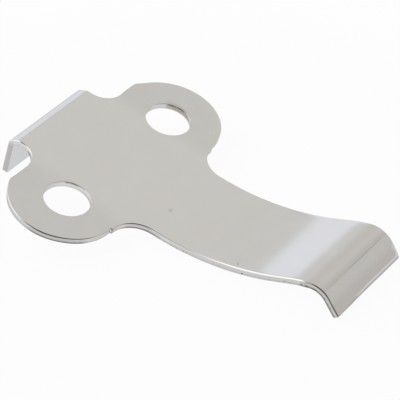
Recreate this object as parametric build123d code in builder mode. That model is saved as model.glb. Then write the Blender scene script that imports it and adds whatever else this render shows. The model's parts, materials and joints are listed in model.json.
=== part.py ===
from build123d import *
import os
from math import radians, tan

# Spring latch, punched from one strip of spring steel and bent in a press tool.
# Lengths are in millimetres and angles in degrees. The seating face of the plate
# lies in the XY plane, with +Z away from what the latch is screwed to. The tongue
# and its hook point along +X, and the origin is midway between the screw holes.

# Strip that runs through from the lip to the hook
sheet = 0.95  # thickness, the same all over
strip_width = 16.85
edge_roll = 0.15  # rounding of the upper edges and of the lip's free end

# Screw holes, side by side along Y
hole_spacing = 25.4
hole_diameter = 6.85

# Ears round the holes
ear_radius = 8.0
ear_set_out = 0.4  # ear centre, this far outside its hole
ear_set_back = 0.1  # and this far behind it
flank_turn = 32.0  # turn of the outline at the ear's back corner
flank_round = 1.0  # rounding of that corner
nib_step = 0.3  # the front relief stands this far proud of the ear
nib_land = 0.225  # and runs straight this far before it meets the ear

# Rounded inner corners between the ears and the strip
back_relief = 3.3
front_relief = 4.2

# Lip, folded down at the back to hook over an edge
fold_start = 11.95  # from the origin back to the start of the fold
fold_radius = 0.9  # inside the fold
lip_straight = 5.3

# Tongue, which sweeps up, eases over a shoulder to the rounded crest and turns down
# into the catch nose
rise_start = 11.4  # from the origin forward to the start of the sweep
rise_radius = 40.7  # seating side of the sweep
rise_angle = 30.3
ramp_length = 2.0
shoulder_radius = 25.5  # inside the shoulder
shoulder_turn = 8.0
crest_radius = 2.8  # inside the crest
crest_turn = 62.5
nose_length = 2.65

ear_x = -ear_set_back
ear_y = hole_spacing / 2 + ear_set_out
ear_back = ear_x - ear_radius
web_front = ear_x + ear_radius + nib_step
web_width = strip_width + 2 * (front_relief + nib_land)
flank_reach = ear_radius * tan(radians(flank_turn / 2))
flank_angle = 180 - flank_turn
ear_tip = ear_y + ear_radius

# A face belongs to the upper skin if its normal rises at least this much
skin_rise = 0.1


def border(faces):
    """Edges round a patch of faces, without those that two of its faces share."""
    edges = [edge for face in faces for edge in face.edges()]
    return [edge for edge in edges if edges.count(edge) == 1]


with BuildPart() as latch_spring:
    # Side view: the seating side of the bent strip, from the lip's free edge to
    # the nose, thickened upwards
    with BuildSketch(Plane.XZ) as side_view:
        with BuildLine() as seating_line:
            plate = Line((-fold_start, 0), (rise_start, 0))
            fold = JernArc(plate @ 0, (-1, 0), fold_radius, 90)
            Line(fold @ 1, (fold @ 1) + lip_straight * (fold % 1))
            sweep_up = JernArc(plate @ 1, plate % 1, rise_radius, rise_angle)
            ramp = Line(sweep_up @ 1, (sweep_up @ 1) + ramp_length * (sweep_up % 1))
            shoulder = JernArc(ramp @ 1, ramp % 1, shoulder_radius, -shoulder_turn)
            crest = JernArc(shoulder @ 1, shoulder % 1, crest_radius, -crest_turn)
            Line(crest @ 1, (crest @ 1) + nose_length * (crest % 1))
            offset(amount=sheet, side=Side.LEFT)
        make_face()
    extrude(amount=ear_tip, both=True)

    # Plan view: the outline that the punch leaves, drawn longer than the bent strip
    bent_length = latch_spring.part.bounding_box().size.X
    with BuildSketch() as plan_view:
        Rectangle(2 * bent_length, strip_width)
        with Locations(((ear_back + web_front) / 2, 0)):
            Rectangle(web_front - ear_back, web_width)
        corners = plan_view.vertices().filter_by_position(Axis.Y, -strip_width / 2, strip_width / 2)
        fillet(corners.group_by(Axis.X)[1], back_relief)
        corners = plan_view.vertices().filter_by_position(Axis.Y, -strip_width / 2, strip_width / 2)
        fillet(corners.group_by(Axis.X)[-2], front_relief)
        for side in (-1, 1):
            centre = Vector(ear_x, side * ear_y)
            corner = Vector(ear_back, side * (ear_y + flank_reach))
            flank = centre + Vector(ear_radius, 0).rotate(Axis.Z, side * flank_angle)
            with Locations(centre):
                Circle(ear_radius)
            with BuildLine():
                Polyline((ear_x, 0), (ear_back, 0), corner, flank, centre, close=True)
            make_face()
            fillet(plan_view.vertices().sort_by_distance(corner)[0], flank_round)
    extrude(amount=bent_length, both=True, mode=Mode.INTERSECT)

    # Screw holes, through the sheet only
    with Locations(*[(0, side * hole_spacing / 2, sheet) for side in (-1, 1)]):
        Hole(hole_diameter / 2, depth=2 * sheet)

    # The punch rolls every edge of the upper skin, which ends with the lip's outer
    # side, and both edges of the lip's free end
    skin = latch_spring.faces().filter_by(lambda face: face.normal_at(face.center()).Z > skin_rise)
    skin += latch_spring.faces().sort_by(Axis.X)[:1]
    lip_end = latch_spring.faces().sort_by(Axis.Z)[0]
    fillet(border(skin) + lip_end.edges().sort_by(Axis.X)[-1:], edge_roll)

latch_spring.part.label = "latch_spring"
os.makedirs("parts", exist_ok=True)
export_step(latch_spring.part, "parts/latch_spring.step")
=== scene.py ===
"""Looks of a spring latch, one strip of bright spring steel punched and bent to shape.

Everything is in metres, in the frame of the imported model: the seating face of the plate
lies in the XY plane, the tongue points along +X and the origin is midway between the
screw holes. A place on the strip is given as it was before bending, by its run along the
strip (the same as x on the plate), its y, and its height above the seating side.
"""

import json
import logging
from collections.abc import Mapping, Sequence
from dataclasses import dataclass, field
from enum import Enum
from math import acos, asin, atan2, ceil, cos, hypot, pi, radians, sin, sqrt, tan

import bpy
import numpy as np
from mathutils import Matrix, Vector
from mathutils.geometry import delaunay_2d_cdt


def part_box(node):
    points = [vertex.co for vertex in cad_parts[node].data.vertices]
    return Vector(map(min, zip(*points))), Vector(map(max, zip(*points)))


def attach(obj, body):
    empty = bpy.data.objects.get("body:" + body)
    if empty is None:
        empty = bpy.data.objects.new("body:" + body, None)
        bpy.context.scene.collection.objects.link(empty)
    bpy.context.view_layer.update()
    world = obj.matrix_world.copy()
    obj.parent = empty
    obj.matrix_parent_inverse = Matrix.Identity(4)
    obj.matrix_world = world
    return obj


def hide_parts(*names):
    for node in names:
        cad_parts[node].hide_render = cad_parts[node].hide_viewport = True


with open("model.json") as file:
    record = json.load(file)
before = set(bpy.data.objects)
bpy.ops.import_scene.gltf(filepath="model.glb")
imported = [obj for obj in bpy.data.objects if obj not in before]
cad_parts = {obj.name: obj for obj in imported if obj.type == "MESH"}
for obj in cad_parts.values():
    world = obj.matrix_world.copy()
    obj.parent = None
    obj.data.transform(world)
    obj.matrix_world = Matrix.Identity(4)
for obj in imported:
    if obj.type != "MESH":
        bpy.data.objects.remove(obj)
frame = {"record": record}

MM = 0.001
NODE = "latch_spring"
BODY = "root"
STRIP_PLACE = "strip_place"

# Slack within which two distances are the same
TOUCH = 1e-7
# Millimetres within which two places on a skin are one, before it is triangulated
MERGE = 0.001
# Millimetres within which the triangulation joins two points
SNAP = 1e-6
# Step over which the slope of the upper skin is measured
SLOPE_STEP = 0.01 * MM
# Number of places that are measured against a border at once
CHUNK = 2000

# Sockets of a Mix node for its factor and its two colours, and for what they give
MIX_INPUTS = (0, 6, 7)
MIX_OUTPUT = 2

Colour = tuple[float, float, float]
# Where a mask is 0, and then where it is 1
Fade = tuple[float, float]

log = logging.getLogger("latch")


def smooth(share: np.ndarray) -> np.ndarray:
    """Eases a share of 0 to 1 at both ends."""
    return share * share * (3 - 2 * share)


def put_in_scene(name: str, data: bpy.types.ID) -> bpy.types.Object:
    """Makes an object and links it to the scene.

    Args:
        name: Name of the object.
        data: Its mesh, camera or lamp.

    Returns:
        The object.
    """
    made = bpy.data.objects.new(name, data)
    bpy.context.scene.collection.objects.link(made)
    return made


class Skin(Enum):
    """The two broad skins of the sheet."""

    SEATING = "seating"
    UPPER = "upper"


@dataclass(frozen=True)
class Stretch:
    """A stretch of the strip's side view, straight or turning evenly.

    It turns upwards where its turn is positive, and downwards where it is negative.
    """

    length: float
    turn: float = 0.0

    @staticmethod
    def bend(radius: float, turn: float) -> "Stretch":
        """Bend of the given radius on the seating side."""
        return Stretch(radius * abs(turn), turn)

    def walk(
        self, x: float, z: float, heading: float, along: float | np.ndarray
    ) -> tuple[float | np.ndarray, float | np.ndarray, float | np.ndarray]:
        """Follows the stretch from its start.

        Args:
            x: Start of the stretch along X.
            z: Start of the stretch along Z.
            heading: Direction at the start, as an angle from +X towards +Z.
            along: Distance, or distances, from the start.

        Returns:
            The x, z and heading that are reached.
        """
        turned = heading + self.turn / self.length * along
        if not self.turn:
            return x + along * cos(heading), z + along * sin(heading), turned
        radius = self.length / self.turn
        return (
            x + radius * (np.sin(turned) - sin(heading)),
            z - radius * (np.cos(turned) - cos(heading)),
            turned,
        )


@dataclass(frozen=True)
class SideLine:
    """Seating side of the bent strip, from the lip's free end to the nose.

    Runs are measured along it, and the first one is at the lip's free end.
    """

    x: float
    z: float
    heading: float
    first_run: float
    stretches: tuple[Stretch, ...]

    @property
    def last_run(self) -> float:
        """Run at the end of the nose."""
        return self.first_run + sum(stretch.length for stretch in self.stretches)

    def follow(self, run: np.ndarray) -> tuple[np.ndarray, ...]:
        """Finds places along the line.

        Args:
            run: Runs of the places.

        Returns:
            Arrays of x, z, heading and curvature at those runs.
        """
        found = np.zeros((4, len(run)))
        x, z, heading, begin = self.x, self.z, self.heading, self.first_run
        for stretch in self.stretches:
            here = run >= begin
            if begin == self.first_run:
                here[:] = True
            found[0:3, here] = stretch.walk(x, z, heading, run[here] - begin)
            found[3, here] = stretch.turn / stretch.length
            x, z, heading = stretch.walk(x, z, heading, stretch.length)
            begin += stretch.length
        return tuple(found)

    def stations(self, spacing: float, facet: float) -> np.ndarray:
        """Divides the line for the mesh.

        Args:
            spacing: Longest division.
            facet: Largest turn within one division.

        Returns:
            The runs of the divisions, with both ends.
        """
        runs = [self.first_run]
        for stretch in self.stretches:
            parts = max(ceil(stretch.length / spacing), ceil(abs(stretch.turn) / facet))
            runs.extend(runs[-1] + stretch.length * (np.arange(parts) + 1) / parts)
        return np.array(runs)


@dataclass(frozen=True)
class Swell:
    """Place where the worn die left the blank a little wide, or narrow if negative.

    It is in millimetres, by the run and y of its middle.
    """

    run: float
    y: float
    reach: float
    amount: float


@dataclass
class Loop:
    """Closed border of the flat blank, with the metal on its left."""

    points: np.ndarray
    outward: np.ndarray
    wear: np.ndarray

    def inset(self, depth: float | np.ndarray) -> np.ndarray:
        """Points of the border, moved into the metal."""
        return self.points - np.reshape(depth, (-1, 1)) * self.outward

    def swell(self, swell: Swell, limit: tuple[float, float]) -> None:
        """Moves a part of the border outwards, fading with distance.

        Args:
            swell: Where, how far and by how much.
            limit: Largest run and largest distance from y = 0 that a point may have.
        """
        gap = np.hypot(*(self.points / MM - (swell.run, swell.y)).T)
        amount = swell.amount * MM * np.exp(-((gap / swell.reach) ** 2))
        self.points += amount[:, None] * self.outward
        self.points = np.clip(self.points, (-np.inf, -limit[1]), limit)

    def nearest(self, places: np.ndarray) -> np.ndarray:
        """Measures how deep in the metal some places are.

        Args:
            places: Run and y of each place.

        Returns:
            Distance from this border of each place.
        """
        start = self.points
        side = np.roll(start, -1, axis=0) - start
        depth = np.empty(len(places))
        for first in range(0, len(places), CHUNK):
            part = places[first : first + CHUNK, None, :]
            share = np.clip(((part - start) * side).sum(2) / (side**2).sum(1), 0, 1)
            gap = part - start - share[:, :, None] * side
            depth[first : first + CHUNK] = np.sqrt((gap**2).sum(2).min(1))
        return depth


@dataclass
class Pen:
    """Draws a border as lines and arcs that run on smoothly from each other."""

    x: float
    y: float
    heading: float
    spacing: float
    facet: float
    points: list[tuple[float, float]] = field(default_factory=list)
    outward: list[tuple[float, float]] = field(default_factory=list)

    def _mark(self, x: float, y: float, heading: float) -> None:
        """Adds one point, whose outward side is on the right."""
        self.points.append((x, y))
        self.outward.append((sin(heading), -cos(heading)))

    def line(self, length: float, stations: np.ndarray | None = None) -> None:
        """Draws a straight line, and marks its start and its divisions.

        Args:
            length: Length of the line.
            stations: Runs at which a line along the strip is divided.
        """
        parts = max(1, ceil(length / self.spacing))
        steps = length * np.arange(parts) / parts
        if stations is not None:
            along = (stations - self.x) / cos(self.heading)
            inside = (along > TOUCH) & (along < length - TOUCH)
            steps = np.concatenate(([0], np.sort(along[inside])))
        east, north = cos(self.heading), sin(self.heading)
        for step in steps:
            self._mark(self.x + step * east, self.y + step * north, self.heading)
        self.x += length * east
        self.y += length * north

    def arc(self, radius: float, turn: float) -> None:
        """Draws an arc, and marks its start and its divisions.

        Args:
            radius: Radius of the arc.
            turn: Angle that it turns by, positive to the left.
        """
        side = radius if turn > 0 else -radius
        middle_x = self.x - side * sin(self.heading)
        middle_y = self.y + side * cos(self.heading)
        parts = max(ceil(abs(turn) / self.facet), ceil(radius * abs(turn) / self.spacing))
        for step in range(parts + 1):
            heading = self.heading + turn * step / parts
            self.x = middle_x + side * sin(heading)
            self.y = middle_y - side * cos(heading)
            if step < parts:
                self._mark(self.x, self.y, heading)
        self.heading += turn

    def mirrored(self) -> Loop:
        """Closes the border with its own mirror image across y = 0.

        Returns:
            The loop. It starts on the mirror line, where the pen now ends.
        """
        there = np.array([*self.points, (self.x, self.y)])
        side = np.array([*self.outward, (sin(self.heading), -cos(self.heading))])
        flip = np.array([1, -1])
        points = np.concatenate([there, (there * flip)[-2:0:-1]])
        outward = np.concatenate([side, (side * flip)[-2:0:-1]])
        return Loop(points, outward, np.ones(len(points)))


@dataclass(frozen=True)
class LatchSizes:
    """Sizes of the latch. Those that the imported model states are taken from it."""

    hole_spacing: float
    hole_radius: float
    lip_inside: float
    lip_foot: float
    ear_set_out: float

    sheet: float = 0.949 * MM
    strip_width: float = 16.85 * MM
    ear_radius: float = 8.0 * MM
    ear_set_back: float = 0.1 * MM
    flank_turn: float = radians(32)
    flank_round: float = 1.0 * MM
    nib_step: float = 0.3 * MM
    nib_land: float = 0.225 * MM
    back_relief: float = 3.3 * MM
    front_relief: float = 4.2 * MM
    fold: tuple[Stretch, ...] = (
        Stretch.bend(0.365 * MM, -radians(57)),
        Stretch.bend(5.12 * MM, -radians(10.5)),
        Stretch.bend(0.3 * MM, -radians(22.5)),
    )
    rise_start: float = 11.4 * MM
    rise_radius: float = 40.7 * MM
    rise_turn: float = radians(30.3)
    ramp_length: float = 2.0 * MM
    shoulder_radius: float = 25.5 * MM
    shoulder_turn: float = radians(8)
    crest_radius: float = 2.8 * MM
    crest_turn: float = radians(62.5)
    nose_length: float = 2.65 * MM

    # Small rounds that the punch leaves in the outline
    nib_round: float = 0.2 * MM
    nib_root: float = 0.1 * MM
    lip_corner: float = 0.5 * MM
    nose_corner: float = 0.25 * MM
    swells: tuple[Swell, ...] = (
        Swell(-6.2, -18.2, 2.8, 0.26),
        Swell(-8.4, -16.6, 1.2, 0.2),
        Swell(-3.1, -20.5, 2.2, 0.09),
        Swell(4.4, -19.8, 3.2, -0.14),
        Swell(-8.1, 13.4, 2.6, 0.16),
        Swell(27.0, -8.4, 9.0, -0.07),
        Swell(42.0, -8.4, 2.0, 0.07),
        Swell(26.0, 8.4, 9.0, 0.08),
        Swell(38.5, 8.4, 4.0, 0.14),
        Swell(43.2, 10.0, 1.8, 0.6),
    )

    # The punch was sharper on the +Y side and in the holes than on the -Y side, where
    # the wear changes with the run
    light_wear: float = 0.5
    wear_turn: float = 10 * MM
    wear_runs: tuple[float, ...] = (9.5 * MM, 12.5 * MM, 17 * MM, 24 * MM, 37.3 * MM, 38.9 * MM)
    wear_shares: tuple[float, ...] = (1.0, 0.55, 0.6, 1.9, 1.9, 1.0)

    @staticmethod
    def from_frame() -> "LatchSizes":
        """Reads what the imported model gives.

        Returns:
            The sizes, with the screw holes, the lip and the ears as in the model.
        """
        mounts = {mount["name"]: mount for mount in frame["record"]["mounts"]}
        screws = mounts["mounting_holes"]["dims"]
        low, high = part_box(NODE)
        spacing = screws["spacing_y_mm"] * MM
        return LatchSizes(
            hole_spacing=spacing,
            hole_radius=screws["hole_r_mm"] * MM,
            lip_inside=-low.x - LatchSizes.sheet,
            lip_foot=-low.z,
            ear_set_out=high.y - LatchSizes.ear_radius - spacing / 2,
        )

    def side_line(self) -> SideLine:
        """Side view of the seating side.

        Returns:
            The line from the lip's free end to the nose.
        """
        x, z, heading = 0.0, 0.0, pi / 2
        for bend in self.fold:
            x, z, heading = bend.walk(x, z, heading, bend.length)
        fold_start = self.lip_inside - x
        lip = Stretch(self.lip_foot - z)
        return SideLine(
            x=-self.lip_inside,
            z=-self.lip_foot,
            heading=pi / 2,
            first_run=-fold_start - lip.length - sum(bend.length for bend in self.fold),
            stretches=(
                lip,
                *self.fold,
                Stretch(fold_start + self.rise_start),
                Stretch.bend(self.rise_radius, self.rise_turn),
                Stretch(self.ramp_length),
                Stretch.bend(self.shoulder_radius, -self.shoulder_turn),
                Stretch.bend(self.crest_radius, -self.crest_turn),
                Stretch(self.nose_length),
            ),
        )

    def crest_start(self) -> float:
        """Run at which the crest begins."""
        line = self.side_line()
        return line.last_run - self.nose_length - line.stretches[-2].length

    def outline(self, line: SideLine, stations: np.ndarray, spacing: float, facet: float) -> Loop:
        """Outer border of the flat blank, counter-clockwise from the middle of the nose.

        Args:
            line: Side view that the blank is bent to.
            stations: Runs at which the strip's straight borders are divided.
            spacing: Longest division.
            facet: Largest turn within one division.

        Returns:
            The closed loop.
        """
        half = self.strip_width / 2
        ear_x = -self.ear_set_back
        ear_y = self.hole_spacing / 2 + self.ear_set_out
        web_front = ear_x + self.ear_radius + self.nib_step
        web_half = half + self.front_relief + self.nib_land
        root_y = web_half + self.nib_root
        root_x = ear_x + sqrt((self.ear_radius + self.nib_root) ** 2 - (ear_y - root_y) ** 2)
        root_turn = pi / 2 + asin((ear_y - root_y) / (self.ear_radius + self.nib_root))
        tuck = self.flank_round * tan(self.flank_turn / 2)
        flank = self.ear_radius * tan(self.flank_turn / 2)

        pen = Pen(line.last_run, 0, pi / 2, spacing, facet)
        pen.line(half - self.nose_corner)
        pen.arc(self.nose_corner, pi / 2)
        pen.line(pen.x - web_front - self.front_relief, stations)
        pen.arc(self.front_relief, -pi / 2)
        pen.line(web_half - self.nib_round - pen.y)
        pen.arc(self.nib_round, pi / 2)
        pen.line(pen.x - root_x)
        pen.arc(self.nib_root, -root_turn)
        pen.arc(self.ear_radius, root_turn + pi / 2 - self.flank_turn)
        pen.line(flank - tuck)
        pen.arc(self.flank_round, self.flank_turn)
        pen.line(ear_y + flank - tuck - half - self.back_relief)
        pen.arc(self.back_relief, -pi / 2)
        pen.line(pen.x - line.first_run - self.lip_corner, stations)
        pen.arc(self.lip_corner, pi / 2)
        pen.line(pen.y)
        loop = pen.mirrored()
        for swell in self.swells:
            loop.swell(swell, (line.last_run, ear_y + self.ear_radius))
        share = np.clip(0.5 - loop.points[:, 1] / self.wear_turn, 0, 1)
        blunt = np.interp(loop.points[:, 0], self.wear_runs, self.wear_shares) - self.light_wear
        loop.wear = self.light_wear + blunt * smooth(share)
        return loop

    def holes(self, facet: float) -> list[Loop]:
        """Borders of the two screw holes, clockwise.

        Args:
            facet: Largest turn within one division.

        Returns:
            One closed loop for each hole.
        """
        sides = ceil(2 * pi / facet)
        angles = -np.arange(sides) * 2 * pi / sides
        rim = np.stack([np.cos(angles), np.sin(angles)], axis=1)
        wear = np.full(len(rim), self.light_wear)
        return [
            Loop(self.hole_radius * rim + (0, side * self.hole_spacing / 2), -rim, wear)
            for side in (-1, 1)
        ]


@dataclass(frozen=True)
class PunchedEdge:
    """Section of an edge that a punch cut, from the seating side up.

    The upper edge is rolled over and runs out into a shallow bow. Below it the wall is
    burnished, then torn and drawn in a little, and a fine burr was rubbed off its foot.
    """

    roll: float = 0.205 * MM
    roll_steps: int = 9
    bow_width: float = 1.0 * MM
    bow_slope: float = 0.035
    tear_height: float = 0.42 * MM
    tear_draw: float = 0.03 * MM
    tear_step: float = 0.02 * MM
    foot: float = 0.09 * MM
    foot_steps: int = 4

    def bow(self, depth: np.ndarray) -> np.ndarray:
        """How far the upper skin has sunk at some depths from a border."""
        left = np.clip((self.bow_width - depth) / (self.bow_width - self.roll), 0, None)
        return self.bow_slope * (self.bow_width - self.roll) * left**3 / 3

    def rows(self, sheet: float, wear: np.ndarray) -> list[tuple[np.ndarray, ...]]:
        """Section of the edge at each point of a border.

        Args:
            sheet: Thickness of the sheet.
            wear: Share of the full roll that each point has.

        Returns:
            Rows of insets, heights and tilts, where a tilt of 90 degrees faces up.
        """
        even = np.ones(len(wear))
        torn = self.tear_height * even
        blunt = np.minimum(wear, 1)
        foot, draw = self.foot * blunt, self.tear_draw * blunt
        lean = np.arctan2(draw, self.tear_height - foot)
        rows = []
        for step in range(self.foot_steps + 1):
            tilt = (pi / 2 - lean) * step / self.foot_steps - pi / 2
            rows.append((draw + foot * (1 - np.cos(tilt)), foot * (1 + np.sin(tilt)), tilt))
        rows.append((self.tear_step * np.sin(lean), torn - self.tear_step, -lean))
        rows.append((0 * even, torn, 0 * even))
        roll = self.roll * wear
        skin = sheet - self.bow(roll)
        last = pi / 2 - atan2(self.bow_slope, 1)
        for step in range(self.roll_steps + 1):
            tilt = last * step / self.roll_steps
            rows.append((roll * (1 - cos(tilt)), skin - roll * (1 - sin(tilt)), tilt * even))
        return rows


@dataclass
class LatchSpring:
    """The latch itself: a flat blank with punched edges, bent to the side view."""

    sizes: LatchSizes
    edge: PunchedEdge = field(default_factory=PunchedEdge)
    spacing: float = 0.45 * MM
    facet: float = radians(2.5)
    border_insets: tuple[float, ...] = tuple(
        inset * MM for inset in (0.41, 0.5, 0.62, 0.78, 1.0, 1.35)
    )

    # Fine crease across the crest, with divisions of its own out to its reach
    crease_run: float = 40.5 * MM
    crease_depth: float = 0.0018 * MM
    crease_width: float = 0.1 * MM
    crease_end: float = 7.35 * MM
    crease_taper: float = 0.91875 * MM
    crease_reach: float = 0.2 * MM
    crease_divisions: int = 8

    # Droop of the nose's end, and the rubbed edge on the nose's +Y side
    droop_width: float = 0.66 * MM
    droop_slope: float = 0.25
    droop_y: float = -4.5 * MM
    droop_blend: float = 4 * MM
    rubbed_y: float = 8.15 * MM
    rubbed_slope: float = 0.38
    rubbed_run: float = 41.2 * MM
    rubbed_blend: float = 2 * MM
    onset: float = 0.12 * MM

    def __post_init__(self) -> None:
        """Prepares the side view and the borders."""
        self.line = self.sizes.side_line()
        even = self.line.stations(self.spacing, self.facet)
        around = np.linspace(-self.crease_reach, self.crease_reach, self.crease_divisions + 1)
        groove = self.crease_run + around
        apart = np.abs(even[:, None] - groove).min(axis=1)
        self.stations = np.sort(np.concatenate([even[apart > self.crease_width / 3], groove]))
        outer = self.sizes.outline(self.line, self.stations, self.spacing, self.facet)
        self.loops = [outer, *self.sizes.holes(self.facet)]

    def skin_height(self, places: np.ndarray) -> np.ndarray:
        """Height of the upper skin.

        Args:
            places: Run and y of each place.

        Returns:
            Height above the seating side of each place.
        """
        sunk = sum(self.edge.bow(loop.nearest(places)) for loop in self.loops)
        across = (places[:, 0] - self.crease_run) / self.crease_width
        reach = np.clip((self.crease_end - abs(places[:, 1])) / self.crease_taper, 0, 1)
        crease = self.crease_depth * reach * np.exp(-(across**2))
        return self.sizes.sheet - sunk - crease

    def _droop(self, flat: np.ndarray, normals: np.ndarray) -> tuple[np.ndarray, np.ndarray]:
        """Pulls the upper skin down at the nose's end and at the nose's rubbed +Y edge.

        Args:
            flat: Run, y and height of each point.
            normals: Normal of each point on the flat blank.

        Returns:
            The moved points, and their normals.
        """
        share = flat[:, 2] / self.sizes.sheet
        run, y = flat[:, 0], flat[:, 1]
        drooping = self.droop_slope * np.clip((y - self.droop_y) / self.droop_blend, 0, 1)
        rubbed = self.rubbed_slope * np.clip((run - self.rubbed_run) / self.rubbed_blend, 0, 1)
        moved = flat.copy()
        tilted = normals.copy()
        for axis, begin, slope in (
            (0, self.line.last_run - self.droop_width, drooping),
            (1, self.rubbed_y, rubbed),
        ):
            past = np.clip(flat[:, axis] - begin, 0, None)
            early = np.minimum(past, self.onset)
            moved[:, 2] -= slope * share * (past - early + early**2 / (2 * self.onset))
            tilted[:, axis] += slope * share * early / self.onset * normals[:, 2]
        return moved, tilted

    def _depth(self, places: np.ndarray) -> np.ndarray:
        """Distance of each place from the nearest border, negative outside the metal."""
        depth = np.min([loop.nearest(places) for loop in self.loops], axis=0)
        return np.where(self._in_metal(places, [loop.points for loop in self.loops]), depth, -depth)

    @staticmethod
    def _in_metal(places: np.ndarray, rings: list[np.ndarray]) -> np.ndarray:
        """Tells which places are in the metal, by counting the borders crossed.

        Args:
            places: Run and y of each place.
            rings: Points of each border.

        Returns:
            True for each place in the metal.
        """
        crossings = np.zeros(len(places), int)
        for ring in rings:
            for (x0, y0), (x1, y1) in zip(ring, np.roll(ring, -1, axis=0)):
                spans = (places[:, 1] < y0) != (places[:, 1] < y1)
                if y0 != y1:
                    reach = x0 + (places[:, 1] - y0) * (x1 - x0) / (y1 - y0)
                    crossings += spans & (places[:, 0] < reach)
        return crossings % 2 == 1

    def _inner_places(self) -> np.ndarray:
        """Places within the borders that the mesh of a skin goes through.

        Returns:
            Run and y of each place, in rows along the borders and then on a grid.
        """
        rows = []
        for inset in self.border_insets:
            ring = np.concatenate([loop.inset(inset) for loop in self.loops])
            rows.append(ring[self._depth(ring) > inset - TOUCH])
        columns = ceil(self.sizes.strip_width / self.spacing)
        step = self.sizes.strip_width / columns
        reach = ceil(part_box(NODE)[1].y / step)
        across = step * np.arange(-reach, reach + 1)
        grid = np.array([(run, y) for run in self.stations for y in across])
        rows.append(grid[self._depth(grid) > self.border_insets[-1] + self.spacing / 2])
        places = np.concatenate(rows)
        _, kept = np.unique(np.round(places / (MERGE * MM)), axis=0, return_index=True)
        return places[np.sort(kept)]

    def _sides(self) -> list[tuple[int, int]]:
        """Finds the sides of all borders.

        Returns:
            The two points of each side, numbered through one border after the other.
        """
        sides = []
        first = 0
        for loop in self.loops:
            count = len(loop.points)
            sides.extend((first + here, first + (here + 1) % count) for here in range(count))
            first += count
        return sides

    def _triangles(self, border: np.ndarray, inner: np.ndarray) -> list[tuple[int, ...]]:
        """Triangulates a skin within its borders.

        Args:
            border: Points of the skin's borders, one loop after the other.
            inner: Places within them.

        Returns:
            Triangles, counter-clockwise from above, whose numbers count the points of
            the borders first and then the inner places.
        """
        places = np.concatenate([border, inner])
        rings = np.split(border, np.cumsum([len(loop.points) for loop in self.loops])[:-1])
        flat = [Vector(place) for place in places / MM]
        _, _, faces, sources, _, _ = delaunay_2d_cdt(flat, self._sides(), [], 1, SNAP)
        corners = np.array([[sources[corner][0] for corner in face] for face in faces])
        middles = places[corners].mean(axis=1)
        return [tuple(int(n) for n in face) for face in corners[self._in_metal(middles, rings)]]

    def _bend(self, flat: np.ndarray, normals: np.ndarray) -> tuple[np.ndarray, np.ndarray]:
        """Bends the blank to the side view.

        Args:
            flat: Run, y and height of each point.
            normals: Normal of each point on the flat blank.

        Returns:
            The places and normals on the bent latch.
        """
        x, z, heading, curvature = self.line.follow(flat[:, 0])
        along = np.stack([np.cos(heading), 0 * heading, np.sin(heading)], axis=1)
        out = np.stack([-np.sin(heading), 0 * heading, np.cos(heading)], axis=1)
        places = np.stack([x, flat[:, 1], z], axis=1) + flat[:, 2:] * out
        lean = normals[:, 0] / (1 - curvature * flat[:, 2])
        bent = lean[:, None] * along + normals[:, 2:] * out
        bent[:, 1] = normals[:, 1]
        return places, bent / np.linalg.norm(bent, axis=1, keepdims=True)

    def _edges(self) -> tuple[list[np.ndarray], list[np.ndarray], list[tuple[int, ...]]]:
        """Makes the punched edges of all borders.

        Returns:
            Rows of flat points from the seating side up, rows of their normals, and the
            faces between the rows.
        """
        outward = np.concatenate([loop.outward for loop in self.loops])
        sections = [self.edge.rows(self.sizes.sheet, loop.wear) for loop in self.loops]
        flat, normals, faces = [], [], []
        for row in zip(*sections):
            ring = np.concatenate([loop.inset(part[0]) for loop, part in zip(self.loops, row)])
            height, tilt = (np.concatenate([part[number] for part in row]) for number in (1, 2))
            flat.append(np.column_stack([ring, height]))
            normals.append(np.column_stack([np.cos(tilt)[:, None] * outward, np.sin(tilt)]))
        for row_number in range(len(flat) - 1):
            low = row_number * len(outward)
            high = low + len(outward)
            for here, there in self._sides():
                faces.append((low + here, low + there, high + there, high + here))
        return flat, normals, faces

    def build(self) -> bpy.types.Object:
        """Makes the mesh and its object.

        Returns:
            The latch, with smooth normals and its flat places as a mesh attribute.
        """
        inner = self._inner_places()
        flat, normals, faces = self._edges()
        ring = len(flat[0])
        borders = {Skin.SEATING: (0, flat[0]), Skin.UPPER: (ring * (len(flat) - 1), flat[-1])}
        for skin, (border_start, border) in borders.items():
            start = sum(len(part) for part in flat)
            height, slope = self._relief(inner, skin)
            flat.append(np.column_stack([inner, height]))
            normals.append(slope)
            for face in self._triangles(border[:, :2], inner):
                corners = [border_start + n if n < ring else start + n - ring for n in face]
                faces.append(tuple(corners) if skin is Skin.UPPER else tuple(reversed(corners)))
        flat_places = np.concatenate(flat)
        places, bent = self._bend(*self._droop(flat_places, np.concatenate(normals)))

        mesh = bpy.data.meshes.new("latch_spring_sheet")
        mesh.from_pydata(places.tolist(), [], faces)
        mesh.polygons.foreach_set("use_smooth", [True] * len(mesh.polygons))
        place = mesh.attributes.new(STRIP_PLACE, "FLOAT_VECTOR", "POINT")
        place.data.foreach_set("vector", flat_places.ravel())
        mesh.update()
        mesh.normals_split_custom_set_from_vertices(bent.tolist())
        return put_in_scene("latch_spring_bent", mesh)

    def dress(self, latch: bpy.types.Object, steel: "SpringSteel") -> None:
        """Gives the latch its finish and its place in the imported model.

        Args:
            latch: The object that was built.
            steel: Its finish.
        """
        latch.data.materials.append(steel.build(self))
        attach(latch, BODY)
        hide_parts(NODE)

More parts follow.
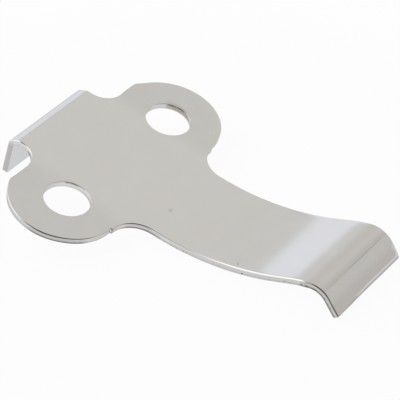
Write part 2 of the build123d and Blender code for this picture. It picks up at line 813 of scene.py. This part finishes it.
    def _relief(self, places: np.ndarray, skin: Skin) -> tuple[np.ndarray, np.ndarray]:
        """Heights and normals of a skin on the flat blank.

        Args:
            places: Run and y of each place.
            skin: Which of the two skins.

        Returns:
            Height of each place, and its normal.
        """
        flat = np.zeros(len(places))
        if skin is Skin.SEATING:
            return flat, np.column_stack([flat, flat, flat - 1])
        rises = [
            self.skin_height(places + step) - self.skin_height(places - step)
            for step in ((SLOPE_STEP, 0), (0, SLOPE_STEP))
        ]
        normals = np.column_stack([-rises[0], -rises[1], flat + 2 * SLOPE_STEP])
        return self.skin_height(places), normals


class Term:
    """Output of a shader node, so that shader maths is written as expressions."""

    def __init__(self, bench: "Bench", socket: bpy.types.NodeSocket) -> None:
        """Keeps the socket, and the bench that adds nodes beside it."""
        self.bench = bench
        self.socket = socket

    def _maths(self, operation: str, *terms: "Term | float") -> "Term":
        """Adds a Math node on the given terms."""
        return self.bench.add("ShaderNodeMath", {"operation": operation}, dict(enumerate(terms)))

    def _vectors(self, operation: str, *terms: "Term | Sequence[float]") -> "Term":
        """Adds a Vector Math node on the given terms."""
        inputs = dict(enumerate(terms))
        return self.bench.add("ShaderNodeVectorMath", {"operation": operation}, inputs)

    def __add__(self, other: "Term | float") -> "Term":
        """Sum."""
        return self._maths("ADD", self, other)

    __radd__ = __add__

    def __sub__(self, other: "Term | float") -> "Term":
        """Difference."""
        return self._maths("SUBTRACT", self, other)

    def __rsub__(self, other: float) -> "Term":
        """Difference from a number."""
        return self._maths("SUBTRACT", other, self)

    def __mul__(self, other: "Term | float") -> "Term":
        """Product."""
        return self._maths("MULTIPLY", self, other)

    __rmul__ = __mul__

    def __truediv__(self, other: "Term | float") -> "Term":
        """Quotient."""
        return self._maths("DIVIDE", self, other)

    def __rtruediv__(self, other: float) -> "Term":
        """Quotient of a number."""
        return self._maths("DIVIDE", other, self)

    def __abs__(self) -> "Term":
        """Size without its sign."""
        return self._maths("ABSOLUTE", self)

    def root(self) -> "Term":
        """Square root."""
        return self._maths("SQRT", self)

    def or_more(self, other: "Term | float") -> "Term":
        """Larger of the two."""
        return self._maths("MAXIMUM", self, other)

    def lifted(self, least: float) -> "Term":
        """Mask squeezed into the range from a least share to 1."""
        return least + self * (1 - least)

    def fade(self, none: float, full: float) -> "Term":
        """Turns a measure into a soft mask.

        Args:
            none: Where the mask is 0.
            full: Where it is 1, above or below the other.

        Returns:
            The mask.
        """
        inputs = {
            "Value": self,
            "From Min": min(none, full),
            "From Max": max(none, full),
            "To Min": float(none > full),
            "To Max": float(none < full),
        }
        return self.bench.add("ShaderNodeMapRange", {"interpolation_type": "SMOOTHSTEP"}, inputs)

    def band(self, rise: Fade, fall: Fade) -> "Term":
        """Mask that comes in over one fade and goes out over another."""
        return self.fade(*rise) * self.fade(*fall)

    def off(self, middle: Sequence[float], scale: Sequence[float]) -> "Term":
        """Distance of a vector from a middle, with each direction scaled."""
        return self._vectors("SUBTRACT", self, tuple(middle)).stretched(*scale).length()

    def stretched(self, x: float, y: float, z: float) -> "Term":
        """Vector with its three parts scaled."""
        return self._vectors("MULTIPLY", self, (x, y, z))

    def length(self) -> "Term":
        """Length of a vector."""
        return self._vectors("LENGTH", self).part("Value")

    def dot(self, direction: Sequence[float]) -> "Term":
        """Dot product of a vector with a fixed direction."""
        return self._vectors("DOT_PRODUCT", self, tuple(direction)).part("Value")

    def part(self, name: str) -> "Term":
        """Another output of the same node."""
        return Term(self.bench, self.socket.node.outputs[name])


class Bench:
    """Node tree of a material or of the world, and the one method that adds nodes."""

    def __init__(self, tree: bpy.types.NodeTree) -> None:
        """Empties the tree and keeps it."""
        tree.nodes.clear()
        self.tree = tree

    def add(
        self,
        kind: str,
        settings: Mapping[str, object] | None = None,
        inputs: Mapping[str | int, object] | None = None,
        output: int = 0,
    ) -> Term:
        """Adds a node of any type.

        Args:
            kind: Type of the node.
            settings: Settings of the node, which are set first.
            inputs: Numbers, colours, vectors or terms for its sockets.
            output: Number of the output that is given back.

        Returns:
            The node's output, or its first input where it has no output.
        """
        node = self.tree.nodes.new(kind)
        for name, value in (settings or {}).items():
            setattr(node, name, value)
        for name, value in (inputs or {}).items():
            if isinstance(value, Term):
                self.tree.links.new(value.socket, node.inputs[name])
            else:
                node.inputs[name].default_value = value
        return Term(self, node.outputs[output] if node.outputs else node.inputs[0])

    def blend(self, share: Term | float, colour: Term | Colour, other: Colour) -> Term:
        """Mixes two colours.

        Args:
            share: How much of the other colour there is.
            colour: First colour, as a term or as red, green and blue.
            other: Other colour, as red, green and blue.

        Returns:
            The mixed colour.
        """
        first = colour if isinstance(colour, Term) else opaque(colour)
        inputs = dict(zip(MIX_INPUTS, (share, first, opaque(other))))
        return self.add("ShaderNodeMix", {"data_type": "RGBA"}, inputs, MIX_OUTPUT)


def opaque(colour: Colour) -> tuple[float, float, float, float]:
    """The colour with full alpha."""
    return (*colour, 1.0)


def blank_material(name: str) -> tuple[bpy.types.Material, Bench]:
    """Makes a material without nodes.

    Args:
        name: Name of the material.

    Returns:
        The material, and the bench that adds its nodes.
    """
    material = bpy.data.materials.new(name)
    material.use_nodes = True
    return material, Bench(material.node_tree)


@dataclass(frozen=True)
class Noise:
    """Unevenness over the strip, with its fineness along, across and through the sheet."""

    scale: tuple[float, float, float]
    detail: float
    roughness: float = 0.5

    def over(self, strip: Term) -> Term:
        """Reads the noise.

        Args:
            strip: Place on the strip, in millimetres.

        Returns:
            The noise, about 0.5 on average.
        """
        inputs = {
            "Vector": strip.stretched(*self.scale),
            "Scale": 1.0,
            "Detail": self.detail,
            "Roughness": self.roughness,
        }
        return strip.bench.add("ShaderNodeTexNoise", None, inputs)


@dataclass(frozen=True)
class Mark:
    """Oval stain, bruise or painted shade, by its place on the strip, in millimetres."""

    run: float
    y: float
    length: float
    width: float
    low: float
    high: float
    colour: Colour
    strength: float
    rim: Fade = (1.0, 0.5)
    blur: Fade = (-0.08, 0.04)

    def share(self, strip: Term, height: Term) -> Term:
        """How strongly the mark shows.

        Args:
            strip: Place on the strip.
            height: Height above the seating side.

        Returns:
            From 0 away from the mark to its strength at its middle.
        """
        far = strip.off((self.run, self.y, 0), (1 / self.length, 1 / self.width, 0))
        outer, inner = self.blur
        level = height.band((self.low + outer, self.low + inner), (self.high + inner, self.high + outer))
        return far.fade(*self.rim) * level * self.strength


# Run, y, length, width, lowest and highest height, colour and strength of each mark
STEEL_MARKS = (
    # Painted shade in the far screw hole: its wall and rolled edge are darkened where they reflect the
    # shade under the plate
    Mark(-0.2, 15.8, 3.0, 1.1, 0.15, 0.93, (0.3, 0.26, 0.22), 0.6),
    Mark(-0.8, 15.95, 2.2, 0.8, 0.68, 0.93, (0.19, 0.155, 0.12), 0.75),
    Mark(-0.7, 16.1, 0.5, 0.5, 0.35, 0.85, (0.36, 0.31, 0.18), 0.5),
    # This mark is painted shade on the rolled edge of the near screw hole, for the dark surroundings
    # that it reflects
    Mark(-1.3, -9.75, 1.7, 0.7, 0.74, 0.93, (0.19, 0.155, 0.13), 0.85),
    Mark(8.3, -12.75, 0.3, 0.25, 0.1, 1.1, (0.2, 0.17, 0.15), 0.7),
    Mark(-9.8, -8.95, 0.5, 0.5, 0.15, 0.6, (0.35, 0.33, 0.33), 0.6),
    Mark(26.26, -7.37, 0.22, 0.17, 0.5, 1.1, (0.35, 0.34, 0.31), 0.85),
    Mark(27.57, -8.42, 0.16, 0.2, 0.2, 0.4, (0.12, 0.1, 0.1), 0.9),
    Mark(37.35, -8.43, 0.22, 0.4, 0.24, 0.46, (0.1, 0.085, 0.08), 1.0),
    Mark(38.25, -8.43, 0.17, 0.4, 0.24, 0.42, (0.12, 0.1, 0.09), 0.9),
    Mark(39.25, -8.45, 0.5, 0.4, 0.15, 0.36, (0.1, 0.085, 0.08), 1.0),
    Mark(11.6, -3.2, 0.4, 0.55, 0.5, 1.1, (0.6, 0.59, 0.57), 0.75),
)


@dataclass(frozen=True)
class WallFinish:
    """Punched walls: burnished under the rolled edge, torn and dull below it.

    Its fades are in millimetres. That of the tongue's end counts from the crest.
    """

    burnished: Colour = (0.705, 0.70, 0.68)
    torn: Colour = (0.565, 0.55, 0.525)
    lip_end: Colour = (0.5, 0.47, 0.45)
    tongue_side: Colour = (0.605, 0.585, 0.575)
    burnished_roughness: float = 0.3
    torn_roughness: float = 0.42

    off_seat: Fade = (0.0, 0.01)
    under_roll: Fade = (0.15, 0.2)
    tear: Fade = (0.04, -0.04)
    tear_wander: float = 0.35
    lip: Fade = (-12.6, -13.4)
    lip_share: float = 0.85
    tongue: Fade = (14.5, 18.0)
    tongue_end: Fade = (0.3, -0.5)
    tongue_share: float = 0.75

    # The wall is less torn at the back, in the holes and at the fronts of the ears
    past_back: Fade = (-1.5, 0.5)
    out_of_hole: Fade = (3.8, 4.4)
    least_torn: float = 0.35
    front_run: float = 7.7
    off_front: Fade = (0.7, 1.4)
    front_torn: float = 0.4

    def colour(self, at: "StripMasks", skin: Term) -> Term:
        """Colours the walls.

        Args:
            at: Masks over the strip.
            skin: Colour of the skins.

        Returns:
            Colour of the skins and the walls.
        """
        blend = at.bench.blend
        colour = blend(at.wall, skin, self.burnished)
        colour = blend(at.torn, colour, self.torn)
        colour = blend(at.wall * at.run.fade(*self.lip) * self.lip_share, colour, self.lip_end)
        side = at.run.fade(*self.tongue) * at.past_crest.fade(*self.tongue_end)
        return blend(at.wall * side * self.tongue_share, colour, self.tongue_side)

    def roughness(self, at: "StripMasks", skin: Term, skin_level: float) -> Term:
        """Makes the walls rougher than the skins.

        Args:
            at: Masks over the strip.
            skin: Roughness of the skins.
            skin_level: Its average.

        Returns:
            Roughness of the skins and the walls.
        """
        burnished = skin + at.wall * (self.burnished_roughness - skin_level)
        return burnished + at.torn * (self.torn_roughness - self.burnished_roughness)


class StripMasks:
    """Measures in millimetres and masks over the strip, as shader terms."""

    uneven = Noise((1.6, 1.6, 0.5), 3.0, 0.6)

    def __init__(self, bench: Bench, latch: LatchSpring, walls: WallFinish) -> None:
        """Reads the place on the strip that the mesh carries.

        Args:
            bench: Node tree of the steel.
            latch: The latch that wears it, for the places of its bends and edges.
            walls: Finish of its walls.
        """
        self.bench = bench
        place = bench.add("ShaderNodeAttribute", {"attribute_name": STRIP_PLACE}).part("Vector")
        self.strip = place.stretched(1 / MM, 1 / MM, 1 / MM)
        self.run = bench.add("ShaderNodeSeparateXYZ", None, {0: self.strip})
        self.across = self.run.part("Y")
        self.height = self.run.part("Z")
        self.below_skin = latch.sizes.sheet / MM - self.height
        self.past_crest = self.run - latch.sizes.crest_start() / MM
        self.past_crease = self.run - latch.crease_run / MM
        self.past_end = self.run - latch.line.last_run / MM
        self.in_crease = latch.crease_end / MM - abs(self.across)
        off_centre = abs(self.across) - latch.sizes.hole_spacing / 2 / MM
        self.from_hole = (self.run * self.run + off_centre * off_centre).root()

        self.wander = self.uneven.over(self.strip) - 0.5
        self.off_seat = self.height.fade(*walls.off_seat)
        self.off_front = abs(self.run - walls.front_run).fade(*walls.off_front)
        self.wall = self.below_skin.fade(*walls.under_roll) * self.off_seat
        torn = self.height - latch.edge.tear_height / MM + self.wander * walls.tear_wander
        self.torn = torn.fade(*walls.tear) * self.off_seat
        self.torn *= self.run.fade(*walls.past_back).lifted(walls.least_torn)
        self.torn *= self.off_front.lifted(walls.front_torn)
        self.torn *= self.from_hole.fade(*walls.out_of_hole).lifted(walls.least_torn)


@dataclass(frozen=True)
class PaintedShadeAndPits:
    """Painted shade on the near side's walls and rolled edges, dark pits in torn metal, and a darker
    upper edge at the nose's end.

    Its fades are in millimetres, apart from that of the pits, which is on their noise.
    Those of the crest, of the hook and of more pits count from the start of the crest,
    and that of the end counts from the end of the nose.
    """

    # Colour of the painted shade and of the pits
    shade_and_pit_colour: Colour = (0.20, 0.175, 0.155)
    plate: tuple[Fade, Fade] = ((-1.5, 0.5), (14.5, 11.5))
    crest: Fade = (-1.6, -0.5)
    near_side: Fade = (-3.0, -5.0)
    off_hole: Fade = (4.6, 5.4)
    front_share: float = 0.15

    # Painted shade along the foot of the near side's walls, for the shade under the latch that it
    # reflects, and fainter over the whole wall
    foot: Fade = (0.34, 0.2)
    foot_wander: float = 0.16
    foot_share: float = 0.9
    wall_share: float = 0.24

    # Painted shade on the rolled edges, for the dark surroundings that they reflect, strongest at the
    # ears, the web and the hook
    roll: tuple[Fade, Fade] = ((0.21, 0.14), (0.01, 0.03))
    roll_share: float = 0.1
    ear: tuple[Fade, Fade] = ((7.0, 2.0), (-0.2, 1.6))
    ear_share: float = 0.66
    web: tuple[Fade, Fade] = ((8.6, 9.6), (12.3, 11.2))
    web_share: float = 0.5
    hook: Fade = (-1.2, -0.2)
    hook_share: float = 0.65
    hook_end: Fade = (2.0, 5.0)
    hook_end_share: float = 0.3

    # Dark pits in the torn metal
    pitted: Noise = Noise((4.5, 4.5, 4.5), 1.0)
    pits: Fade = (0.63, 0.68)
    pit_share: float = 0.75
    more_pits: Fade = (-2.2, -1.0)
    more_pits_lift: float = 0.09

    # A darker upper edge at the nose's end, from the middle towards +Y
    end_height: Fade = (0.5, 0.6)
    end: Fade = (-0.428, -0.308)
    end_across: Fade = (-8.0, -1.0)
    end_share: float = 0.42

    def _painted_roll_shade(self, at: StripMasks) -> Term:
        """Painted shade on the rolled edge, for the dark surroundings that it reflects.

        Args:
            at: Masks over the strip.

        Returns:
            How strongly it shows.
        """
        eared = at.run.band(*self.ear) * self.ear_share
        webbed = at.run.band(*self.web) * self.web_share
        more = at.past_crest.fade(*self.hook_end) * self.hook_end_share
        hooked = at.past_crest.fade(*self.hook) * (self.hook_share + more)
        roll_shade = self.roll_share + eared.or_more(webbed).or_more(hooked)
        return at.below_skin.band(*self.roll) * roll_shade

    def share(self, at: StripMasks) -> Term:
        """All the painted shade, the darker nose end and the dark pits.

        Args:
            at: Masks over the strip.

        Returns:
            How strongly it shows.
        """
        shade_zone = at.run.band(*self.plate).or_more(at.past_crest.fade(*self.crest))
        shade_zone = shade_zone * at.across.fade(*self.near_side) * at.from_hole.fade(*self.off_hole)
        foot = (at.height + at.wander * self.foot_wander).fade(*self.foot) * at.off_seat
        shading_and_pits = (foot * self.foot_share).or_more(self._painted_roll_shade(at)).or_more(at.wall * self.wall_share)
        shading_and_pits = shade_zone * at.off_front.lifted(self.front_share) * shading_and_pits
        pits = self.pitted.over(at.strip) + at.past_crest.fade(*self.more_pits) * self.more_pits_lift
        shading_and_pits = shading_and_pits.or_more(pits.fade(*self.pits) * at.torn * self.pit_share)
        end = at.height.fade(*self.end_height) * at.past_end.fade(*self.end)
        return shading_and_pits.or_more(end * at.across.fade(*self.end_across) * self.end_share)


@dataclass(frozen=True)
class CreaseLine:
    """Painted shade in the crease: a dark line, in millimetres, uneven and fainter towards -Y."""

    half_width: float = 0.09
    taper: float = 0.6
    strength: float = 0.2
    unevenness: float = 0.7
    far_side: Fade = (-4.0, 2.0)
    near_share: float = 0.4

    def share(self, at: StripMasks) -> Term:
        """How strongly the line shows.

        Args:
            at: Masks over the strip.

        Returns:
            From 0 beside the line to its strength in its middle.
        """
        off_middle = at.past_crease / self.half_width
        line = (off_middle * off_middle).fade(1.0, 0.0) * at.in_crease.fade(0.0, self.taper)
        uneven = self.strength + at.wander * self.unevenness
        return line * uneven * at.across.fade(*self.far_side).lifted(self.near_share)


@dataclass(frozen=True)
class SpringSteel:
    """Finish of the latch: bright cold-rolled steel with a fine grain along the strip."""

    name: str = "spring_steel_bright"
    base: Colour = (0.722, 0.718, 0.701)
    blushed: Colour = (0.735, 0.705, 0.685)
    crest_darker: Colour = (0.655, 0.633, 0.617)
    grazing_tint: Colour = (0.76, 0.755, 0.765)
    roughness: float = 0.13
    walls: WallFinish = WallFinish()
    shade_and_pits: PaintedShadeAndPits = PaintedShadeAndPits()
    crease: CreaseLine = CreaseLine()
    marks: tuple[Mark, ...] = STEEL_MARKS

    blush: Noise = Noise((0.16, 0.16, 0.0), 1.0)
    blush_fade: Fade = (0.47, 0.62)
    blush_share: float = 0.4

    # The crest is darker on both sides of the crease, in millimetres from the crease
    # and from the start of the crest
    before_crease: Fade = (0.2, -0.1)
    after_crease: Fade = (0.6, 2.4)
    after_share: float = 0.85
    crest_darker_from: Fade = (-0.8, 0.6)

    # Streaks break the marks up
    streaks: Noise = Noise((1.2, 1.2, 6.0), 2.0)
    streak_fade: Fade = (0.3, 0.5)
    streak_least: float = 0.4

    grain: Noise = Noise((0.12, 9.0, 9.0), 3.0, 0.6)
    grain_tone: float = 0.04
    grain_roughness: float = 0.05
    grain_depth: float = 0.002 * MM
    grain_strength: float = 0.25
    mottle: Noise = Noise((0.35, 0.35, 0.35), 2.0)
    mottle_tone: float = 0.04
    mottle_roughness: float = 0.03
    ear_ends: Fade = (8.5, 12.5)
    ear_shade: float = 0.065

    def _skin(self, at: StripMasks) -> Term:
        """Colours the broad skins.

        Args:
            at: Masks over the strip.

        Returns:
            Their colour.
        """
        blushed = self.blush.over(at.strip).fade(*self.blush_fade) * self.blush_share
        skin = at.bench.blend(blushed, self.base, self.blushed)
        after = at.past_crease.fade(*self.after_crease) * self.after_share
        crest_darker = at.past_crease.fade(*self.before_crease).or_more(after)
        return at.bench.blend(at.past_crest.fade(*self.crest_darker_from) * crest_darker, skin, self.crest_darker)

    def _colour(self, at: StripMasks) -> Term:
        """Colours the steel, its edges, its painted shade and pits, and its marks.

        Args:
            at: Masks over the strip.

        Returns:
            The colour before its grain.
        """
        colour = self.walls.colour(at, self._skin(at))
        # Painted shade in the crease
        colour = at.bench.blend(self.crease.share(at), colour, self.shade_and_pits.shade_and_pit_colour)
        # Painted shade on the near side's walls and rolled edges, and the dark pits
        colour = at.bench.blend(self.shade_and_pits.share(at), colour, self.shade_and_pits.shade_and_pit_colour)
        streaks = self.streaks.over(at.strip).fade(*self.streak_fade).lifted(self.streak_least)
        for mark in self.marks:
            colour = at.bench.blend(mark.share(at.strip, at.height) * streaks, colour, mark.colour)
        return colour

    def build(self, latch: LatchSpring) -> bpy.types.Material:
        """Makes the material.

        Args:
            latch: The latch that wears it, for the places of its bends and edges.

        Returns:
            The material.
        """
        material, bench = blank_material(self.name)
        at = StripMasks(bench, latch, self.walls)
        grain = self.grain.over(at.strip)
        grained, mottled = grain - 0.5, self.mottle.over(at.strip) - 0.5
        tone = 1 + mottled * self.mottle_tone + grained * self.grain_tone
        tone = tone - abs(at.across).fade(*self.ear_ends) * self.ear_shade
        tinted = {0: self._colour(at), "Scale": tone}
        rough = self.roughness + grained * self.grain_roughness + mottled * self.mottle_roughness
        bump = {"Strength": self.grain_strength, "Distance": self.grain_depth, "Height": grain}
        finish = {
            "Base Color": bench.add("ShaderNodeVectorMath", {"operation": "SCALE"}, tinted),
            "Metallic": 1.0,
            "Roughness": self.walls.roughness(at, rough, self.roughness),
            "Specular Tint": opaque(self.grazing_tint),
            "Normal": bench.add("ShaderNodeBump", None, bump),
        }
        steel = bench.add("ShaderNodeBsdfPrincipled", None, finish)
        bench.add("ShaderNodeOutputMaterial", None, {"Surface": steel})
        return material


@dataclass(frozen=True)
class SkyPatch:
    """Part of the surroundings: a soft-edged cone of directions with its own colour.

    Its edge goes from its inner to its outer angle, in degrees from its axis. Below its
    lowest height, a sine over the plane that the latch lies on, it fades out too.
    """

    towards: tuple[float, float, float]
    colour: Colour
    inner: float
    outer: float
    lowest: float = 0.0

    def share(self, direction: Term, up: Vector) -> Term:
        """How strongly the patch shows.

        Args:
            direction: Direction that is looked in.
            up: Normal of the plane that the latch lies on.

        Returns:
            From 0 outside the cone to 1 within it.
        """
        edge = cos(radians(self.outer)), cos(radians(self.inner))
        share = direction.dot(Vector(self.towards).normalized()).fade(*edge)
        if self.lowest:
            share = share * direction.dot(up).fade(self.lowest / 3, self.lowest)
        return share


@dataclass(frozen=True)
class SoftBox:
    """Rectangular studio lamp to the left of the latch, aimed at it."""

    name: str = "left_soft_box"
    towards: tuple[float, float, float] = (-0.87, -0.22, 0.44)
    distance: float = 800 * MM
    width: float = 800 * MM
    height: float = 700 * MM
    power: float = 2.3

    def build(self) -> bpy.types.Object:
        """Makes the lamp, which neither the camera nor a reflection sees.

        Returns:
            The lamp.
        """
        data = bpy.data.lights.new(self.name, "AREA")
        data.shape = "RECTANGLE"
        data.size = self.width
        data.size_y = self.height
        data.energy = self.power
        lamp = put_in_scene(self.name, data)
        towards = Vector(self.towards).normalized()
        turned = towards.to_track_quat("Z", "Y").to_matrix().to_4x4()
        lamp.matrix_world = Matrix.Translation(self.distance * towards) @ turned
        lamp.visible_camera = False
        lamp.visible_glossy = False
        return lamp


@dataclass(frozen=True)
class PhotoCamera:
    """Camera that sees the latch as the photograph does."""

    name: str = "photo_camera"
    azimuth: float = radians(22.580)
    elevation: float = radians(41.558)
    roll: float = radians(17.825)
    distance: float = 338.10 * MM
    aim: tuple[float, float, float] = (12.613 * MM, 3.654 * MM, -0.707 * MM)
    lens_mm: float = 209.61
    sensor_mm: float = 36.0
    clip_ratio: float = 100

    def back(self) -> Vector:
        """Direction from the latch to the camera."""
        level = cos(self.elevation)
        return Vector((sin(self.azimuth) * level, -cos(self.azimuth) * level, sin(self.elevation)))

    def build(self) -> bpy.types.Object:
        """Makes the camera and gives it to the scene.

        Returns:
            The camera.
        """
        back = self.back()
        right = Vector((cos(self.azimuth), sin(self.azimuth), 0))
        rolled_right = cos(self.roll) * right + sin(self.roll) * back.cross(right)
        data = bpy.data.cameras.new(self.name)
        data.sensor_width = self.sensor_mm
        data.lens = self.lens_mm
        data.clip_start = self.distance / self.clip_ratio
        data.clip_end = self.distance * self.clip_ratio
        camera = put_in_scene(self.name, data)
        turned = Matrix((rolled_right, back.cross(rolled_right), back)).transposed().to_4x4()
        camera.matrix_world = Matrix.Translation(Vector(self.aim) + self.distance * back) @ turned
        bpy.context.scene.camera = camera
        return camera


@dataclass
class Studio:
    """Pale floor, soft surroundings, a lamp and the camera, round the latch."""

    latch: LatchSpring
    camera: PhotoCamera = field(default_factory=PhotoCamera)
    lamp: SoftBox = field(default_factory=SoftBox)

    floor_name: str = "studio_floor"
    floor_radius: float = 900 * MM
    floor_rings: tuple[float, ...] = (0.05, 0.12, 0.3, 1.0)
    floor_sides: int = 64
    floor_colour: Colour = (0.9, 0.9, 0.9)
    floor_glow: float = 0.94
    mirrored_tint: Colour = (0.955, 0.97, 1.0)
    mirrored_glow: float = 0.93
    shadow_reach: float = 60 * MM

    horizon: Colour = (1.012, 1.035, 1.105)
    ceiling: Colour = (0.78, 0.772, 0.752)
    ceiling_edge: tuple[float, float] = (69.2, 70.6)
    patches: tuple[SkyPatch, ...] = (
        SkyPatch((0.75, 0.60, 0.0), (0.82, 0.815, 0.81), 36.87, 63.256),
        SkyPatch((0.75, 0.60, 0.25), (0.69, 0.68, 0.665), 36.87, 63.256, 0.1),
        SkyPatch((-0.1, 0.9, 0.42), (0.87, 0.84, 0.81), 11, 21.5),
        SkyPatch((0.35, -0.55, 0.76), (0.14, 0.12, 0.105), 44, 60, 0.45),
        SkyPatch((-0.87, -0.22, 0.44), (1.4, 1.42, 1.45), 18, 31),
    )

    def rest_plane(self) -> tuple[Vector, Vector]:
        """Plane that the latch lies on, on the foot of its lip and the belly of its tongue.

        Returns:
            The point under the lip's foot and the plane's normal.
        """
        sizes = self.latch.sizes
        foot = Vector((self.latch.line.x - sizes.sheet / 2, 0, self.latch.line.z))
        reach = Vector((sizes.rise_start, 0, sizes.rise_radius)) - foot
        span = hypot(reach.x, reach.z)
        tilt = atan2(reach.x, reach.z) - acos(sizes.rise_radius / span)
        return foot, Vector((sin(tilt), 0, cos(tilt)))

    def floor(self) -> bpy.types.Object:
        """Makes the floor, which shows white and keeps a soft shadow near the latch.

        Returns:
            The floor.
        """
        foot, up = self.rest_plane()
        sides = self.floor_sides
        angles = [2 * pi * side / sides for side in range(sides)]
        points = [(0.0, 0.0, 0.0)]
        for ring in self.floor_rings:
            radius = ring * self.floor_radius
            points.extend((radius * cos(angle), radius * sin(angle), 0) for angle in angles)
        faces = []
        for side in range(sides):
            after = (side + 1) % sides
            faces.append((0, 1 + side, 1 + after))
            for inner in range(1, 1 + (len(self.floor_rings) - 1) * sides, sides):
                outer = inner + sides
                faces.append((inner + side, outer + side, outer + after, inner + after))
        mesh = bpy.data.meshes.new(self.floor_name)
        mesh.from_pydata(points, [], faces)
        floor = put_in_scene(self.floor_name, mesh)
        middle = Vector((self.camera.aim[0], 0, 0))
        middle -= (middle - foot).dot(up) * up
        turned = up.to_track_quat("Z", "X").to_matrix().to_4x4()
        floor.matrix_world = Matrix.Translation(middle) @ turned
        mesh.materials.append(self._floor_material())
        return floor

    def _floor_material(self) -> bpy.types.Material:
        """White card that glows for the camera and in reflections, clear from below.

        Returns:
            The material.
        """
        material, bench = blank_material("pale_card")
        seen = bench.add("ShaderNodeLightPath")
        mirrored = seen.part("Is Glossy Ray").or_more(seen.part("Is Transmission Ray"))
        far = bench.add("ShaderNodeTexCoord").part("Object").length()
        spread = far.fade(self.shadow_reach / 2, self.shadow_reach * 2)
        glow = seen * spread.lifted(self.floor_glow)
        glow = glow.or_more(mirrored * spread.lifted(self.mirrored_glow))
        card = bench.add("ShaderNodeBsdfDiffuse", None, {"Color": opaque(self.floor_colour)})
        shade = bench.blend(mirrored, (1.0, 1.0, 1.0), self.mirrored_tint)
        white = bench.add("ShaderNodeEmission", None, {"Color": shade, "Strength": 1.0})
        clear = bench.add("ShaderNodeBsdfTransparent")
        top = bench.add("ShaderNodeMixShader", None, {0: glow, 1: card, 2: white})
        below = bench.add("ShaderNodeNewGeometry").part("Backfacing")
        both = bench.add("ShaderNodeMixShader", None, {0: below, 1: top, 2: clear})
        bench.add("ShaderNodeOutputMaterial", None, {"Surface": both})
        return material

    def world(self) -> bpy.types.World:
        """Makes the surroundings: a white low band under a soft pale-grey ceiling.

        Returns:
            The world.
        """
        _, up = self.rest_plane()
        world = bpy.data.worlds.new("studio_surroundings")
        bpy.context.scene.world = world
        world.use_nodes = True
        bench = Bench(world.node_tree)
        direction = bench.add("ShaderNodeTexCoord")
        colour: Term | Colour = self.horizon
        for patch in (SkyPatch(tuple(up), self.ceiling, *self.ceiling_edge), *self.patches):
            colour = bench.blend(patch.share(direction, up), colour, patch.colour)
        glow = bench.add("ShaderNodeBackground", None, {"Color": colour, "Strength": 1.0})
        bench.add("ShaderNodeOutputWorld", None, {"Surface": glow})
        return world

    def build(self) -> None:
        """Makes the whole studio."""
        self.camera.build()
        self.world()
        self.lamp.build()
        self.floor()
        bpy.context.scene.view_settings.view_transform = "Standard"


def main() -> None:
    """Builds the studio and the latch, and reports each."""
    logging.basicConfig(level=logging.INFO, format="%(name)s: %(message)s")
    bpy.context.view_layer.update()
    spring = LatchSpring(LatchSizes.from_frame())
    Studio(spring).build()
    log.info("studio is ready")
    latch = spring.build()
    spring.dress(latch, SpringSteel())
    log.info("%s: %d points, %d faces", latch.name, len(latch.data.vertices), len(latch.data.polygons))


if __name__ == "__main__":
    main()
